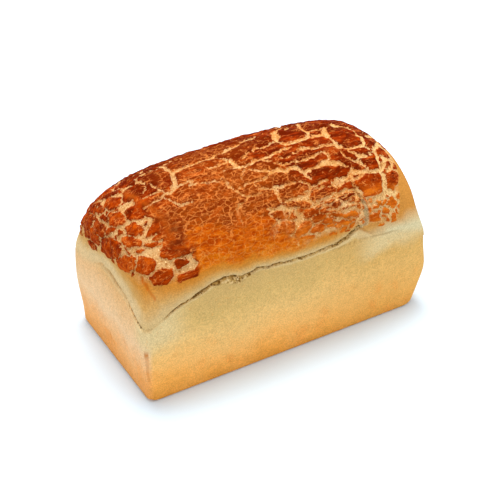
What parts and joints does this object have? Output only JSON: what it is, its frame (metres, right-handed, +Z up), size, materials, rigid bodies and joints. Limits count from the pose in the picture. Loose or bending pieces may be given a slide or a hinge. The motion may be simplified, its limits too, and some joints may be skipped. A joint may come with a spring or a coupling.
{
  "type": "tin loaf",
  "caption": "Uncut tin loaf with straight walls, a ragged tear along the rim and a domed top of cracked, raised crust plates.",
  "frame": {"origin": "middle of the flat base, at the height it stands on", "axes": "+Z up, +X along the loaf's length, Y across it; the picture shows the -Y side and the -X end"},
  "size_m": [0.2526, 0.1309, 0.1511],
  "materials": {
    "crust": null
  },
  "bodies": {
    "root": {"tin_loaf": "crust"}
  },
  "joints": []
}
